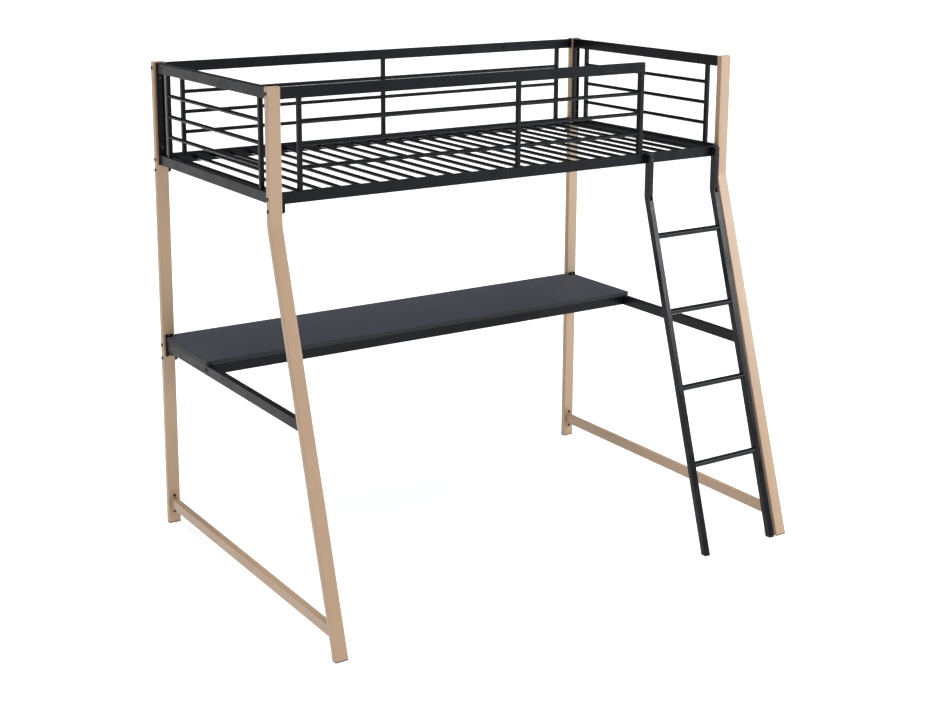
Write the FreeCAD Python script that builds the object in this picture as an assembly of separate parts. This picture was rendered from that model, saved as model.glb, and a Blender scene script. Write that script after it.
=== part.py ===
"""Loft bed with a full-length desk, built from bolted steel tube frames.

Millimetres.  The origin is on the floor under the middle of the bed.
+X runs along the bed (the ladder is at the +X end), +Y runs to the back, +Z is up.
"""
import FreeCAD, Part
import math
import os

Vector = FreeCAD.Vector

# ---------------------------------------------------------------- driving dimensions
BED_LENGTH = 2070.0          # over the outer faces of the legs, along X
BED_WIDTH = 1014.0           # over the upright legs, along Y
FOOT_FORWARD = 430.0         # how far the front feet stand in front of the bed
LEG_HEIGHT = 1894.0
LEG_BEND_Z = 1416.0          # where the front faces of the upright and sloping runs meet
LEG_BEND_RADIUS = 110.0

LEG_X = 50.0                 # leg tube, along X
LEG_Y = 25.0                 # leg tube, along Y
LEG_WALL = 1.2
LEG_CORNER = 3.0
FOOT_CAP = 4.0               # plastic under the tube
TOP_CAP = 3.0                # plastic over the tube
TOP_CAP_ROUND = 1.2
PLUG_DEPTH = 16.0
TOP_PLUG_DEPTH = 12.0        # ends above the guard bolts
PLUG_GAP = 0.3
PLUG_WALL = 2.0

RAIL_HEIGHT = 40.0           # bed rails, guard rails and end-frame rails
RAIL_THICK = 20.0            # rails that run along X
CROSS_THICK = 25.0           # rails that run along Y
RAIL_WALL = 1.2
RAIL_CORNER = 2.0
SIDE_RAIL_TOP = 1531.0
GUARD_RAIL_TOP = 1890.0
GUARD_END_X = 1630.0         # free end of the front guard, from the left outer face
GUARD_CAP = 3.0              # plastic over that free end
GUARD_CAP_ROUND = 1.0

POST = 16.0                  # square posts of the guards and end frames
END_POST = 20.0              # square post under the front guard's free end
POST_WALL = 1.0
POST_CORNER = 1.5
BAR_RADIUS = 7.5             # round bars of the guards and end frames
BAR_COUNT = 3
RIGHT_BAR_HEIGHTS = (1611.0, 1695.0, 1779.0)
GUARD_POST_X = 124.0         # first post from the bed's outer face
END_POST_Y = 107.0           # end-frame post from the bed's outer face

BRACKET = 2.5                # steel of the folded channel brackets
BRACKET_DEPTH = 10.0
SIDE_BRACKET_BOTTOM = 1460.0
SIDE_BOLT_LOW_Z = 1469.0
STILE_BOLT_Z = (1833.0, 1560.0)

SLAT_COUNT = 25
SLAT_PITCH = 79.0
SLAT_RADIUS = 7.0
SLAT_WALL = 1.0
SLAT_SEAT = 7.0              # how far a slat tube reaches into each side rail
SLAT_CLEAR = 0.3

DESK_TOP = 792.0
DESK_THICK = 18.0
DESK_FRONT_Y = 589.0         # board's front edge, behind the bed's front face
DESK_INSET = 11.0            # board's ends, inside the legs' outer faces
DESK_TUBE_HEIGHT = 40.0
DESK_BEAM_OVERHANG = 3.0
DESK_BRACKET = 90.0          # length of the desk rails' brackets along the leg
DESK_BRACKET_MID = 757.0     # their centre height
DESK_BOLT_HALF = 37.0
DESK_BACK_BOLT_Z = 703.0
DESK_BACK_BRACKET_BOTTOM = 690.0
BOARD_LEG_GAP = 3.0          # between the board's notch and the leg
BOARD_BRACKET_GAP = 1.5      # between the board's shoulder and the desk rail's bracket
BOARD_REAR_INSET = 0.5
BOARD_ROUND = 1.5
BEAM_PLUG = 12.0             # end plug of the front beam, along X
BEAM_PLUG_GAP = 0.5
BEAM_BOLT_PAST = 14.0        # how far its bolt reaches past the desk rail
TRIM = 60.0                  # extra tube that the sloping cut takes off

FLOOR_BAR_Z = 84.0           # centre height
FLOOR_BAR_HEIGHT = 40.0
FLOOR_PLATE = 104.0
FLOOR_BOLT_HALF = 34.0
FLOOR_PLATE_THICK = 3.0

LADDER_TUBE = 25.0
LADDER_WALL = 1.2
LADDER_LEFT_X = 1641.0       # left faces of the two stringers, from the left outer face
LADDER_RIGHT_X = 1983.0
LADDER_BEND_Z = 1361.0
LADDER_BEND_RADIUS = 45.0
RUNG_RADIUS = 12.0
RUNG_WALL = 1.2
RUNG_FIRST_Z = 337.0
RUNG_PITCH = 290.0
RUNG_COUNT = 4
LADDER_TOP_CAP = 2.0
LADDER_TOP_PLUG = 8.0
LADDER_BOLT_PAST = 6.0       # how far its bolt reaches inside the side rail
DIMPLE_DEPTH = 4.5
DIMPLE_WIDTH = 17.0
DIMPLE_ABOVE = 17.0          # its reach above and below the bend
DIMPLE_BELOW = 12.0
DIMPLE_STEP = 8.0            # height of its short lower slope

BOLT_RADIUS = 4.0
BOLT_CLEAR = 0.3
HEAD_RADIUS = 7.0
HEAD_HEIGHT = 4.4
HEAD_RIM = 1.2
SOCKET_FLATS = 5.0
SOCKET_DEPTH = 2.2
BOLT_TAIL = 2.0              # how far a through bolt stands out of its nut
FACE_BOLT_LENGTH = 16.0
NUT_FLATS = 13.0
NUT_HEIGHT = 6.5
SCREW_RADIUS = 2.0
SCREW_HEAD = 4.0
SCREW_HEAD_HEIGHT = 2.4
SCREW_HEAD_ROUND = 1.0
SCREW_IN_BOARD = 12.0

# ---------------------------------------------------------------- places worked out
LEFT = -BED_LENGTH / 2
FRONT = -(BED_WIDTH - FOOT_FORWARD) / 2
BACK = FRONT + BED_WIDTH
LEG_MID_X = LEFT + LEG_X / 2
LEG_IN_X = LEFT + LEG_X
FRONT_MID = FRONT + LEG_Y / 2
BACK_MID = BACK - LEG_Y / 2
SLOPE = math.atan2(FOOT_FORWARD, LEG_BEND_Z)
SIDE_RAIL_MID = SIDE_RAIL_TOP - RAIL_HEIGHT / 2
GUARD_RAIL_MID = GUARD_RAIL_TOP - RAIL_HEIGHT / 2
DESK_TUBE_TOP = DESK_TOP - DESK_THICK
DESK_TUBE_MID = DESK_TUBE_TOP - DESK_TUBE_HEIGHT / 2
BRACKET_WIDTH = CROSS_THICK + 2 * BRACKET

AXIS_X = Vector(1, 0, 0)
AXIS_Y = Vector(0, 1, 0)
AXIS_Z = Vector(0, 0, 1)

parts = {}


# ---------------------------------------------------------------- shapes
def add(name, *shapes):
    """Keep one named node, made of one or more separate solids."""
    solids = [solid for shape in shapes for solid in shape.Solids]
    parts[name] = solids[0] if len(solids) == 1 else Part.makeCompound(solids)


def outline(centre, across, along, width, height, corner):
    """Closed rounded rectangle about centre, in the plane of two unit vectors."""
    half_w = width / 2
    half_h = height / 2
    diagonal = corner * (1 - math.sqrt(0.5))

    def at(u, v):
        return centre + across * u + along * v

    edges = []
    corners = ((1, 1), (-1, 1), (-1, -1), (1, -1))
    for index, (su, sv) in enumerate(corners):
        nu, nv = corners[(index + 1) % 4]
        if su == sv:
            start = at(su * half_w, sv * (half_h - corner))
            end = at(su * (half_w - corner), sv * half_h)
        else:
            start = at(su * (half_w - corner), sv * half_h)
            end = at(su * half_w, sv * (half_h - corner))
        middle = at(su * (half_w - diagonal), sv * (half_h - diagonal))
        edges.append(Part.Arc(start, middle, end).toShape())
        if nu == nv:
            following = at(nu * half_w, nv * (half_h - corner))
        else:
            following = at(nu * (half_w - corner), nv * half_h)
        edges.append(Part.makeLine(end, following))
    return Part.Wire(edges)


def bar(start, end, across, along, width, height, corner):
    """Solid rounded bar from start to end."""
    return Part.Face(outline(start, across, along, width, height, corner)).extrude(end - start)


def tube(start, end, across, along, width, height, wall, corner):
    """Open rounded tube from start to end."""
    step = (end - start).normalize()
    outer = bar(start, end, across, along, width, height, corner)
    bore = bar(start - step, end + step, across, along,
               width - 2 * wall, height - 2 * wall, max(corner - wall, 0.3))
    return outer.cut(bore)


def round_tube(start, end, radius, wall):
    """Open round tube from start to end."""
    step = (end - start).normalize()
    length = (end - start).Length
    outer = Part.makeCylinder(radius, length, start, step)
    bore = Part.makeCylinder(radius - wall, length + 2, start - step, step)
    return outer.cut(bore)


def slab(low, high):
    """Wide horizontal slab between two heights."""
    reach = BED_LENGTH
    return Part.makeBox(2 * reach, 2 * reach, high - low, Vector(-reach, -reach, low))


def mirrored(shape):
    """The same shape at the other end of the bed."""
    return shape.mirror(Vector(0, 0, 0), AXIS_X)


def hexagon(centre, normal, across, flats, height):
    """Hexagonal prism on a plane through centre."""
    side = normal.cross(across)
    points = []
    for index in range(7):
        angle = math.radians(60 * index)
        reach = flats / 2 / math.cos(math.radians(30))
        points.append(centre + across * (reach * math.cos(angle)) + side * (reach * math.sin(angle)))
    return Part.Face(Part.makePolygon(points)).extrude(normal * height)


def bolt(seat, outward, across, length):
    """Button-head socket bolt: seat is under the head, outward is the head's side."""
    shank = Part.makeCylinder(BOLT_RADIUS, length, seat, outward * -1)
    flat = HEAD_RADIUS * 0.5
    crown = HEAD_RADIUS * 0.83
    profile = [
        Part.makeLine(Vector(0, 0, 0), Vector(HEAD_RADIUS, 0, 0)),
        Part.makeLine(Vector(HEAD_RADIUS, 0, 0), Vector(HEAD_RADIUS, 0, HEAD_RIM)),
        Part.Arc(Vector(HEAD_RADIUS, 0, HEAD_RIM), Vector(crown, 0, HEAD_HEIGHT * 0.7),
                 Vector(flat, 0, HEAD_HEIGHT)).toShape(),
        Part.makeLine(Vector(flat, 0, HEAD_HEIGHT), Vector(0, 0, HEAD_HEIGHT)),
        Part.makeLine(Vector(0, 0, HEAD_HEIGHT), Vector(0, 0, 0)),
    ]
    head = Part.Face(Part.Wire(profile)).revolve(Vector(0, 0, 0), AXIS_Z, 360)
    head.Placement = FreeCAD.Placement(seat, FreeCAD.Rotation(AXIS_Z, outward))
    socket_floor = seat + outward * (HEAD_HEIGHT - SOCKET_DEPTH)
    socket = hexagon(socket_floor, outward, across, SOCKET_FLATS, 2 * SOCKET_DEPTH)
    return head.fuse(shank).cut(socket).removeSplitter()


def nut(seat, outward, across):
    """Hexagonal weld nut standing on seat."""
    body = hexagon(seat, outward, across, NUT_FLATS, NUT_HEIGHT)
    bore = Part.makeCylinder(BOLT_RADIUS + 0.1, NUT_HEIGHT + 2, seat - outward, outward)
    return body.cut(bore)


def bolt_hole(seat, outward, depth):
    """Clearance bore for a bolt, from outside the seat to depth inside it."""
    return Part.makeCylinder(BOLT_RADIUS + BOLT_CLEAR, depth + 1, seat + outward, outward * -1)


def channel(foot, outward, up, width, height, drop_corner):
    """Folded U bracket lying on a face.

    foot is the middle of the back of the web, outward is the way the flanges stand,
    drop_corner rounds off the flanges' outer lower corners.
    """
    across = outward.cross(up)
    half = height / 2
    lower = foot - up * half
    upper = foot + up * half
    edges = [
        Part.makeLine(lower, upper),
        Part.makeLine(upper, upper + outward * BRACKET_DEPTH),
    ]
    if drop_corner:
        turn = BRACKET_DEPTH - BRACKET
        bend_top = lower + outward * BRACKET_DEPTH + up * turn
        bend_end = lower + outward * BRACKET
        bend_mid = lower + outward * (BRACKET + turn * math.sqrt(0.5)) + up * (turn * (1 - math.sqrt(0.5)))
        edges.append(Part.makeLine(upper + outward * BRACKET_DEPTH, bend_top))
        edges.append(Part.Arc(bend_top, bend_mid, bend_end).toShape())
        edges.append(Part.makeLine(bend_end, lower))
    else:
        edges.append(Part.makeLine(upper + outward * BRACKET_DEPTH, lower + outward * BRACKET_DEPTH))
        edges.append(Part.makeLine(lower + outward * BRACKET_DEPTH, lower))
    side = Part.Face(Part.Wire(edges))
    side.translate(across * (-width / 2))
    body = side.extrude(across * width)
    room = Part.makeBox(width - 2 * BRACKET, BRACKET_DEPTH + 1, height + 2)
    turn_to = FreeCAD.Rotation(across, outward, up, "ZXY")
    corner = foot + outward * BRACKET - across * (width / 2 - BRACKET) - up * (half + 1)
    room.Placement = FreeCAD.Placement(corner, turn_to)
    return body.cut(room)


# ---------------------------------------------------------------- bent tubes
def bent_run(mid_x, mid_y, slope, bend_z, radius, top, width, depth, corner):
    """Solid bar, upright at the top and sloping forward below the bend."""
    down = Vector(0, -math.sin(slope), -math.cos(slope))
    vertex = Vector(mid_x, mid_y, bend_z)
    setback = radius * math.tan(slope / 2)
    arc_low = vertex + down * setback
    arc_high = vertex + AXIS_Z * setback
    centre = arc_high - AXIS_Y * radius
    arc_mid = centre + Vector(0, radius * math.cos(slope / 2), -radius * math.sin(slope / 2))
    foot = vertex + down * (bend_z / math.cos(slope) + depth)
    path = Part.Wire([
        Part.makeLine(foot, arc_low),
        Part.Arc(arc_low, arc_mid, arc_high).toShape(),
        Part.makeLine(arc_high, Vector(mid_x, mid_y, top)),
    ])
    across_slope = Vector(0, math.cos(slope), -math.sin(slope))
    section = outline(foot, AXIS_X, across_slope, width, depth, corner)
    return path.makePipeShell([section], True, True)


def front_leg_bar(inset):
    """Left front leg as a solid bar, drawn in by inset on every side."""
    mid_bend = LEG_BEND_Z - LEG_Y / 2 * math.tan(SLOPE / 2)
    return bent_run(LEG_MID_X, FRONT_MID, SLOPE, mid_bend, LEG_BEND_RADIUS, LEG_HEIGHT,
                    LEG_X - 2 * inset, LEG_Y - 2 * inset, max(LEG_CORNER - inset, 0.5))


def rear_leg_bar(inset):
    """Left rear leg as a solid bar, drawn in by inset on every side."""
    start = Vector(LEG_MID_X, BACK_MID, 0)
    end = Vector(LEG_MID_X, BACK_MID, LEG_HEIGHT)
    return bar(start, end, AXIS_X, AXIS_Y, LEG_X - 2 * inset, LEG_Y - 2 * inset,
               max(LEG_CORNER - inset, 0.5))


def leg_pieces(make_bar):
    """Tube, foot cap and top cap of one leg."""
    whole = make_bar(0)
    plug = make_bar(LEG_WALL + PLUG_GAP)
    hollow = make_bar(LEG_WALL + PLUG_GAP + PLUG_WALL)
    tube_top = LEG_HEIGHT - TOP_CAP
    leg = whole.cut(make_bar(LEG_WALL)).common(slab(FOOT_CAP, tube_top))
    foot_plug = plug.cut(hollow).common(slab(FOOT_CAP, FOOT_CAP + PLUG_DEPTH))
    foot = whole.common(slab(0, FOOT_CAP)).fuse(foot_plug).removeSplitter()
    top_plug = plug.cut(hollow).common(slab(tube_top - TOP_PLUG_DEPTH, tube_top))
    lid = whole.common(slab(tube_top, LEG_HEIGHT))
    rim = [edge for edge in lid.Edges if min(v.Z for v in edge.Vertexes) > LEG_HEIGHT - 0.1]
    top = lid.makeFillet(TOP_CAP_ROUND, rim).fuse(top_plug).removeSplitter()
    return leg, foot, top


def slope_point(height, back_offset):
    """Point on the sloping leg's mid plane: back_offset is from its front face."""
    front_y = FRONT - (LEG_BEND_Z - height) * math.tan(SLOPE)
    return Vector(LEG_MID_X, front_y + back_offset / math.cos(SLOPE), height)


SLOPE_UP = Vector(0, math.sin(SLOPE), math.cos(SLOPE))
SLOPE_BACK = Vector(0, math.cos(SLOPE), -math.sin(SLOPE))


# ---------------------------------------------------------------- bolt places
FRONT_FACE_Y = FRONT + LEG_Y
REAR_FACE_Y = BACK - LEG_Y

stile_seats = []
for height in STILE_BOLT_Z:
    stile_seats.append((Vector(LEG_MID_X, FRONT_FACE_Y + BRACKET, height), AXIS_Y))
    stile_seats.append((Vector(LEG_MID_X, REAR_FACE_Y - BRACKET, height), AXIS_Y * -1))

desk_foot_front = slope_point(DESK_BRACKET_MID, LEG_Y)
desk_foot_rear = Vector(LEG_MID_X, REAR_FACE_Y, DESK_BRACKET_MID)
desk_seats = []
for shift in (DESK_BOLT_HALF, -DESK_BOLT_HALF):
    desk_seats.append((desk_foot_front + SLOPE_BACK * BRACKET + SLOPE_UP * shift, SLOPE_BACK))
    desk_seats.append((desk_foot_rear - AXIS_Y * BRACKET + AXIS_Z * shift, AXIS_Y * -1))

floor_foot_front = slope_point(FLOOR_BAR_Z, LEG_Y)
floor_foot_rear = Vector(LEG_MID_X, REAR_FACE_Y, FLOOR_BAR_Z)
floor_seats = []
for shift in (FLOOR_BOLT_HALF, -FLOOR_BOLT_HALF):
    front_seat = floor_foot_front + SLOPE_BACK * FLOOR_PLATE_THICK + SLOPE_UP * shift
    floor_seats.append((front_seat, SLOPE_BACK))
    floor_seats.append((floor_foot_rear - AXIS_Y * FLOOR_PLATE_THICK + AXIS_Z * shift, AXIS_Y * -1))

THROUGH_LENGTH = LEG_X + BRACKET + NUT_HEIGHT + BOLT_TAIL
side_heights = (SIDE_RAIL_MID, SIDE_BOLT_LOW_Z)
desk_back_heights = (DESK_BRACKET_MID, DESK_BACK_BOLT_Z)
front_through = [Vector(LEFT, FRONT_MID, height) for height in side_heights]
front_guard_through = [Vector(LEFT, FRONT_MID, GUARD_RAIL_MID)]
rear_through = [Vector(LEFT, BACK_MID, height) for height in side_heights]
rear_guard_through = [Vector(LEFT, BACK_MID, GUARD_RAIL_MID)]
desk_through = [Vector(LEFT, BACK_MID, height) for height in desk_back_heights]


def drill_through(shape, seats):
    """Holes along X right through a left leg or its bracket."""
    for seat in seats:
        shape = shape.cut(bolt_hole(seat, AXIS_X * -1, LEG_X + BRACKET + 2))
    return shape


def drill_face(shape, seats):
    """Holes for the bolts that enter a leg's inner face."""
    for seat, outward in seats:
        shape = shape.cut(bolt_hole(seat, outward, FACE_BOLT_LENGTH))
    return shape


# ---------------------------------------------------------------- legs and their caps
front_leg, front_foot, front_top = leg_pieces(front_leg_bar)
rear_leg, rear_foot, rear_top = leg_pieces(rear_leg_bar)
face_seats = stile_seats + desk_seats + floor_seats
front_leg = drill_face(drill_through(front_leg, front_through), face_seats)
rear_leg = drill_face(drill_through(rear_leg, rear_through + rear_guard_through + desk_through), face_seats)
add("front_left_leg", drill_through(front_leg, front_guard_through))
add("front_right_leg", mirrored(front_leg))
add("rear_left_leg", rear_leg)
add("rear_right_leg", mirrored(rear_leg))
add("front_foot_caps", front_foot, mirrored(front_foot))
add("rear_foot_caps", rear_foot, mirrored(rear_foot))
add("leg_top_caps", front_top, rear_top, mirrored(front_top), mirrored(rear_top))


# ---------------------------------------------------------------- rails along the bed
def long_tube(start_x, end_x, mid_y, mid_z, height):
    """Rectangular tube along X."""
    return tube(Vector(start_x, mid_y, mid_z), Vector(end_x, mid_y, mid_z), AXIS_Y, AXIS_Z,
                RAIL_THICK, height, RAIL_WALL, RAIL_CORNER)


def left_bracket(mid_y, top, bottom, seats, drop_corner):
    """Channel bracket on the left leg's inner side face."""
    foot = Vector(LEG_IN_X, mid_y, (top + bottom) / 2)
    shape = channel(foot, AXIS_X, AXIS_Z, RAIL_THICK + 2 * BRACKET, top - bottom, drop_corner)
    return drill_through(shape, seats)


RAIL_START = LEG_IN_X + BRACKET
slat_xs = [(index - (SLAT_COUNT - 1) / 2) * SLAT_PITCH for index in range(SLAT_COUNT)]


def side_rail(mid_y, inward, seats):
    """Bed side rail with a bracket at each end and a seat hole for every slat tube."""
    rail = long_tube(RAIL_START, -RAIL_START, mid_y, SIDE_RAIL_MID, RAIL_HEIGHT)
    seats_cut = []
    for x in slat_xs:
        start = Vector(x, mid_y, SIDE_RAIL_MID)
        seats_cut.append(Part.makeCylinder(SLAT_RADIUS + SLAT_CLEAR, RAIL_THICK, start, inward))
    rail = rail.cut(Part.makeCompound(seats_cut))
    bracket = left_bracket(mid_y, SIDE_RAIL_TOP, SIDE_BRACKET_BOTTOM, seats, True)
    return rail, bracket, mirrored(bracket)


STRINGER_XS = [LEFT + LADDER_LEFT_X + LADDER_TUBE / 2, LEFT + LADDER_RIGHT_X + LADDER_TUBE / 2]
LADDER_BACK_Y = FRONT_MID - RAIL_THICK / 2
LADDER_FRONT_Y = LADDER_BACK_Y - LADDER_TUBE
ladder_bolt_seats = [Vector(x, LADDER_FRONT_Y, SIDE_RAIL_MID) for x in STRINGER_XS]
LADDER_BOLT_LENGTH = LADDER_TUBE + RAIL_WALL + LADDER_BOLT_PAST

front_rail, front_bracket_a, front_bracket_b = side_rail(FRONT_MID, AXIS_Y, front_through)
for seat in ladder_bolt_seats:
    front_rail = front_rail.cut(bolt_hole(seat, AXIS_Y * -1, LADDER_BOLT_LENGTH))
add("front_side_rail", front_rail, front_bracket_a, front_bracket_b)
add("back_side_rail", *side_rail(BACK_MID, AXIS_Y * -1, rear_through))


# ---------------------------------------------------------------- slat tubes
for index, x in enumerate(slat_xs):
    slat_start = Vector(x, FRONT_MID + RAIL_THICK / 2 - SLAT_SEAT, SIDE_RAIL_MID)
    slat_end = Vector(x, BACK_MID - RAIL_THICK / 2 + SLAT_SEAT, SIDE_RAIL_MID)
    add("slat_tube_%02d" % (index + 1), round_tube(slat_start, slat_end, SLAT_RADIUS, SLAT_WALL))


# ---------------------------------------------------------------- guards along the bed
def bar_heights():
    """Heights of the round bars, evenly spaced between the rails."""
    low = SIDE_RAIL_TOP
    step = (GUARD_RAIL_TOP - RAIL_HEIGHT - low) / (BAR_COUNT + 1)
    return [low + step * (index + 1) for index in range(BAR_COUNT)]


def upright_post(x, y, size):
    """Square post between the lower and upper rails."""
    return tube(Vector(x, y, SIDE_RAIL_TOP), Vector(x, y, GUARD_RAIL_TOP - RAIL_HEIGHT),
                AXIS_X, AXIS_Y, size, size, POST_WALL, POST_CORNER)


def guard(mid_y, posts, end_x, seats, closed):
    """Guard: top rail, posts and bars; closed when it is bolted at both ends. Each post is (x, size)."""
    bracket = left_bracket(mid_y, GUARD_RAIL_TOP, GUARD_RAIL_TOP - RAIL_HEIGHT, seats, False)
    pieces = [long_tube(RAIL_START, end_x, mid_y, GUARD_RAIL_MID, RAIL_HEIGHT), bracket]
    if closed:
        pieces.append(mirrored(bracket))
    for x, size in posts:
        pieces.append(upright_post(x, mid_y, size))
    for (first, first_size), (second, second_size) in zip(posts, posts[1:]):
        for height in bar_heights():
            start = Vector(first + first_size / 2, mid_y, height)
            end = Vector(second - second_size / 2, mid_y, height)
            pieces.append(round_tube(start, end, BAR_RADIUS, POST_WALL))
    return pieces


guard_tube_end = LEFT + GUARD_END_X - GUARD_CAP
first_post = LEFT + GUARD_POST_X
shared_posts = [(first_post, POST), (0.0, POST)]
front_posts = shared_posts + [(guard_tube_end - END_POST / 2, END_POST)]
back_posts = shared_posts + [(-first_post, POST)]
add("front_guard", *guard(FRONT_MID, front_posts, guard_tube_end, front_guard_through, False))
add("back_guard", *guard(BACK_MID, back_posts, -RAIL_START, rear_guard_through, True))

cap_start = Vector(guard_tube_end, FRONT_MID, GUARD_RAIL_MID)
cap_end = cap_start + AXIS_X * GUARD_CAP
cap_inset = 2 * (RAIL_WALL + PLUG_GAP)
cap_plate = bar(cap_start, cap_end, AXIS_Y, AXIS_Z, RAIL_THICK, RAIL_HEIGHT, RAIL_CORNER)
cap_rim = [edge for edge in cap_plate.Edges if min(v.X for v in edge.Vertexes) > cap_end.x - 0.1]
cap_plug = tube(cap_start - AXIS_X * PLUG_DEPTH, cap_start, AXIS_Y, AXIS_Z,
                RAIL_THICK - cap_inset, RAIL_HEIGHT - cap_inset, PLUG_WALL, RAIL_CORNER - RAIL_WALL)
cap_plate = cap_plate.makeFillet(GUARD_CAP_ROUND, cap_rim)
add("front_guard_end_cap", cap_plate.fuse(cap_plug).removeSplitter())


# ---------------------------------------------------------------- end frames
def cross_tube(start_y, end_y, mid_z, height):
    """Rectangular tube along Y, centred on the left legs."""
    return tube(Vector(LEG_MID_X, start_y, mid_z), Vector(LEG_MID_X, end_y, mid_z), AXIS_X, AXIS_Z,
                CROSS_THICK, height, RAIL_WALL, RAIL_CORNER)


def end_frame(heights):
    """End frame on the left: two rails, two channel stiles, two posts and bars at the given heights."""
    start_y = FRONT_FACE_Y + BRACKET
    end_y = REAR_FACE_Y - BRACKET
    bottom = SIDE_RAIL_TOP - RAIL_HEIGHT
    height = GUARD_RAIL_TOP - bottom
    pieces = [cross_tube(start_y, end_y, SIDE_RAIL_MID, RAIL_HEIGHT),
              cross_tube(start_y, end_y, GUARD_RAIL_MID, RAIL_HEIGHT)]
    for face_y, outward in ((FRONT_FACE_Y, AXIS_Y), (REAR_FACE_Y, AXIS_Y * -1)):
        foot = Vector(LEG_MID_X, face_y, bottom + height / 2)
        stile = channel(foot, outward, AXIS_Z, BRACKET_WIDTH, height, False)
        pieces.append(drill_face(stile, stile_seats))
    post_ys = (FRONT + END_POST_Y, BACK - END_POST_Y)
    for y in post_ys:
        pieces.append(upright_post(LEG_MID_X, y, POST))
    for height in heights:
        start = Vector(LEG_MID_X, post_ys[0] + POST / 2, height)
        end = Vector(LEG_MID_X, post_ys[1] - POST / 2, height)
        pieces.append(round_tube(start, end, BAR_RADIUS, POST_WALL))
    return pieces


add("left_end_frame", *end_frame(bar_heights()))
add("right_end_frame", *[mirrored(piece) for piece in end_frame(RIGHT_BAR_HEIGHTS)])


# ---------------------------------------------------------------- rails between front and rear legs
def behind_slope(foot, clearance):
    """Everything in front of the plane that lies clearance behind the sloping leg's rear face."""
    block = Part.makeBox(200, 400, 600)
    turn_to = FreeCAD.Rotation(AXIS_X, SLOPE_BACK, SLOPE_UP, "ZXY")
    corner = foot + SLOPE_BACK * (clearance - 400) - AXIS_X * 100 - SLOPE_UP * 300
    block.Placement = FreeCAD.Placement(corner, turn_to)
    return block


DESK_FRONT = FRONT + DESK_FRONT_Y
DESK_SCREW_XS = (-760.0, 0.0, 760.0)
BEAM_MID_Y = DESK_FRONT + DESK_BEAM_OVERHANG + RAIL_THICK / 2
beam_bolt_seat = Vector(LEG_MID_X - CROSS_THICK / 2, BEAM_MID_Y, DESK_TUBE_MID)
BEAM_BOLT_LENGTH = CROSS_THICK + BEAM_BOLT_PAST


def desk_rail():
    """Left desk rail: tube, upright bracket at the rear leg and sloping one at the front leg."""
    rail = cross_tube(desk_foot_front.y - TRIM, REAR_FACE_Y - BRACKET, DESK_TUBE_MID, DESK_TUBE_HEIGHT)
    rail = rail.cut(behind_slope(desk_foot_front, BRACKET))
    rail = rail.cut(bolt_hole(beam_bolt_seat, AXIS_X * -1, CROSS_THICK + 2))
    front = channel(desk_foot_front, SLOPE_BACK, SLOPE_UP, BRACKET_WIDTH, DESK_BRACKET, False)
    rear = channel(desk_foot_rear, AXIS_Y * -1, AXIS_Z, BRACKET_WIDTH, DESK_BRACKET, False)
    return [rail, drill_face(front, desk_seats), drill_face(rear, desk_seats)]


left_desk_rail = desk_rail()
add("desk_left_rail", *left_desk_rail)
add("desk_right_rail", *[mirrored(piece) for piece in left_desk_rail])


def floor_plate(foot, outward, up):
    """Round-ended bolting plate on a leg's inner face."""
    width = BRACKET_WIDTH
    plate = bar(foot, foot + outward * FLOOR_PLATE_THICK, AXIS_X, up, width, FLOOR_PLATE, width / 2 - 0.5)
    return drill_face(plate, floor_seats)


def floor_bar():
    """Left floor bar: tube with a bolting plate at each end."""
    start_y = floor_foot_front.y - TRIM
    end_y = REAR_FACE_Y - FLOOR_PLATE_THICK
    tube_run = cross_tube(start_y, end_y, FLOOR_BAR_Z, FLOOR_BAR_HEIGHT)
    tube_run = tube_run.cut(behind_slope(floor_foot_front, FLOOR_PLATE_THICK))
    front = floor_plate(floor_foot_front, SLOPE_BACK, SLOPE_UP)
    rear = floor_plate(floor_foot_rear, AXIS_Y * -1, AXIS_Z)
    return [tube_run, front, rear]


left_floor_bar = floor_bar()
add("left_floor_bar", *left_floor_bar)
add("right_floor_bar", *[mirrored(piece) for piece in left_floor_bar])


# ---------------------------------------------------------------- desk
def screw_places():
    """Undersides of the desk's beams, where the board's screws go up."""
    places = []
    for x in DESK_SCREW_XS:
        for y in (BEAM_MID_Y, BACK_MID):
            places.append(Vector(x, y, DESK_TUBE_TOP - DESK_TUBE_HEIGHT))
    return places


SCREW_LENGTH = DESK_TUBE_HEIGHT + SCREW_IN_BOARD


def screw_holes(clearance):
    """Bores for the board's screws."""
    bores = []
    for place in screw_places():
        bores.append(Part.makeCylinder(SCREW_RADIUS + clearance, SCREW_LENGTH + 2, place - AXIS_Z))
    return Part.makeCompound(bores)


def pan_screw(place):
    """Pan-head screw pointing up, head under place."""
    shank = Part.makeCylinder(SCREW_RADIUS, SCREW_LENGTH, place)
    head = Part.makeCylinder(SCREW_HEAD, SCREW_HEAD_HEIGHT, place - AXIS_Z * SCREW_HEAD_HEIGHT)
    rim = [edge for edge in head.Edges if abs(edge.BoundBox.ZMax - head.BoundBox.ZMin) < 0.01]
    return head.makeFillet(SCREW_HEAD_ROUND, rim).fuse(shank).removeSplitter()


def desk_board():
    """Board with its rear corners notched around the legs and their brackets."""
    end = BED_LENGTH / 2 - DESK_INSET
    waist = BED_LENGTH / 2 - LEG_X - BOARD_LEG_GAP
    shoulder = REAR_FACE_Y - BRACKET_DEPTH - BOARD_BRACKET_GAP
    rear = BACK - BOARD_REAR_INSET
    points = [Vector(x, y, DESK_TUBE_TOP) for x, y in (
        (-end, DESK_FRONT), (end, DESK_FRONT), (end, shoulder), (waist, shoulder),
        (waist, rear), (-waist, rear), (-waist, shoulder), (-end, shoulder), (-end, DESK_FRONT))]
    board = Part.Face(Part.makePolygon(points)).extrude(AXIS_Z * DESK_THICK)
    flat_edges = [edge for edge in board.Edges if edge.BoundBox.ZLength < 0.01]
    board = board.makeFillet(BOARD_ROUND, flat_edges)
    return board.cut(screw_holes(0.1))


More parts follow.
